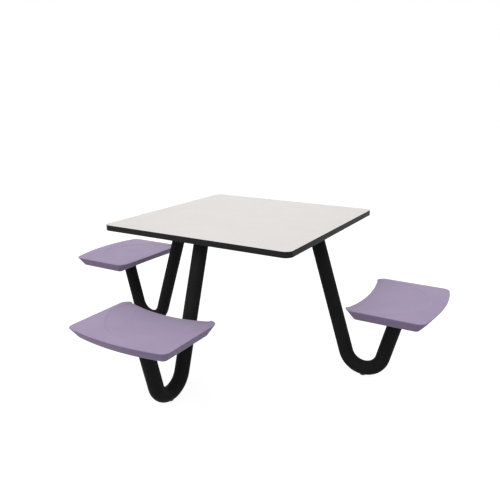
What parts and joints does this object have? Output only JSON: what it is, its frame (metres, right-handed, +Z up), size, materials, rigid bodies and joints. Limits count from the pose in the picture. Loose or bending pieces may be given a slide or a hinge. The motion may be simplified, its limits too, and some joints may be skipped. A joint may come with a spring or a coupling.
{
  "type": "table with attached swivel seats",
  "caption": "Square laminate table on bent round tube legs, each carrying a moulded swivel seat, with one side left open.",
  "frame": {"origin": "on the floor, under the middle of the whole part's box", "axes": "+X toward the right seat, +Y toward the open side, +Z up"},
  "size_m": [2.1688, 1.6178, 0.762],
  "materials": {
    "laminate": "fine satin laminate, pale warm grey",
    "edge_band": "satin black moulded edge",
    "core_board": "particle board",
    "backer_sheet": "phenolic backer, dull brown-black",
    "black_powder_coat": "fine textured black powder coat",
    "seat_plastic": "fine grained moulded plastic, dusty purple",
    "zinc_plated_steel": "zinc plated",
    "ground_steel": "ground, lightly greased",
    "brass": "machined",
    "white_nylon": "natural nylon",
    "black_nylon": "moulded black nylon"
  },
  "bodies": {
    "root": {"floor_glide_front": "black_nylon", "floor_glide_left": "black_nylon", "floor_glide_right": "black_nylon", "frame_arm_front": "black_powder_coat", "frame_arm_left": "black_powder_coat", "frame_arm_rear": "black_powder_coat", "frame_arm_right": "black_powder_coat", "frame_rear_cap": "black_nylon", "frame_rear_plate": "black_powder_coat", "glide_rivet_nuts": "zinc_plated_steel", "glide_studs": "zinc_plated_steel", "hub_bolts": "zinc_plated_steel", "hub_plate_lower": "black_powder_coat", "hub_plate_upper": "black_powder_coat", "leg_plate_front": "black_powder_coat", "leg_plate_left": "black_powder_coat", "leg_plate_right": "black_powder_coat", "leg_tube_front": "black_powder_coat", "leg_tube_left": "black_powder_coat", "leg_tube_right": "black_powder_coat", "post_cap_front": "black_powder_coat", "post_cap_left": "black_powder_coat", "post_cap_right": "black_powder_coat", "retaining_screws": "zinc_plated_steel", "retaining_washers": "zinc_plated_steel", "spindle_front": "ground_steel", "spindle_left": "ground_steel", "spindle_right": "ground_steel", "stop_pins": "ground_steel", "tabletop_backer": "backer_sheet", "tabletop_core": "core_board", "tabletop_edge_band": "edge_band", "tabletop_laminate": "laminate", "tabletop_screws": "zinc_plated_steel", "threaded_inserts": "zinc_plated_steel"},
    "seat_right": {"lower_bush_right": "white_nylon", "seat_bracket_right": "black_powder_coat", "seat_inserts_right": "brass", "seat_screws_right": "zinc_plated_steel", "seat_shell_right": "seat_plastic", "upper_bush_right": "white_nylon"},
    "seat_front": {"lower_bush_front": "white_nylon", "seat_bracket_front": "black_powder_coat", "seat_inserts_front": "brass", "seat_screws_front": "zinc_plated_steel", "seat_shell_front": "seat_plastic", "upper_bush_front": "white_nylon"},
    "seat_left": {"lower_bush_left": "white_nylon", "seat_bracket_left": "black_powder_coat", "seat_inserts_left": "brass", "seat_screws_left": "zinc_plated_steel", "seat_shell_left": "seat_plastic", "upper_bush_left": "white_nylon"}
  },
  "joints": [
    {"name": "swivel_right", "type": "hinge", "parent": "root", "child": "seat_right", "pos_m": [0.868, 0.27552, 0.38], "axis": [0, 0, 1], "range_deg": [-90, 90]},
    {"name": "swivel_front", "type": "hinge", "parent": "root", "child": "seat_front", "pos_m": [0, -0.59248, 0.38], "axis": [0, 0, 1], "range_deg": [-90, 90]},
    {"name": "swivel_left", "type": "hinge", "parent": "root", "child": "seat_left", "pos_m": [-0.868, 0.27552, 0.38], "axis": [0, 0, 1], "range_deg": [-90, 90]}
  ]
}
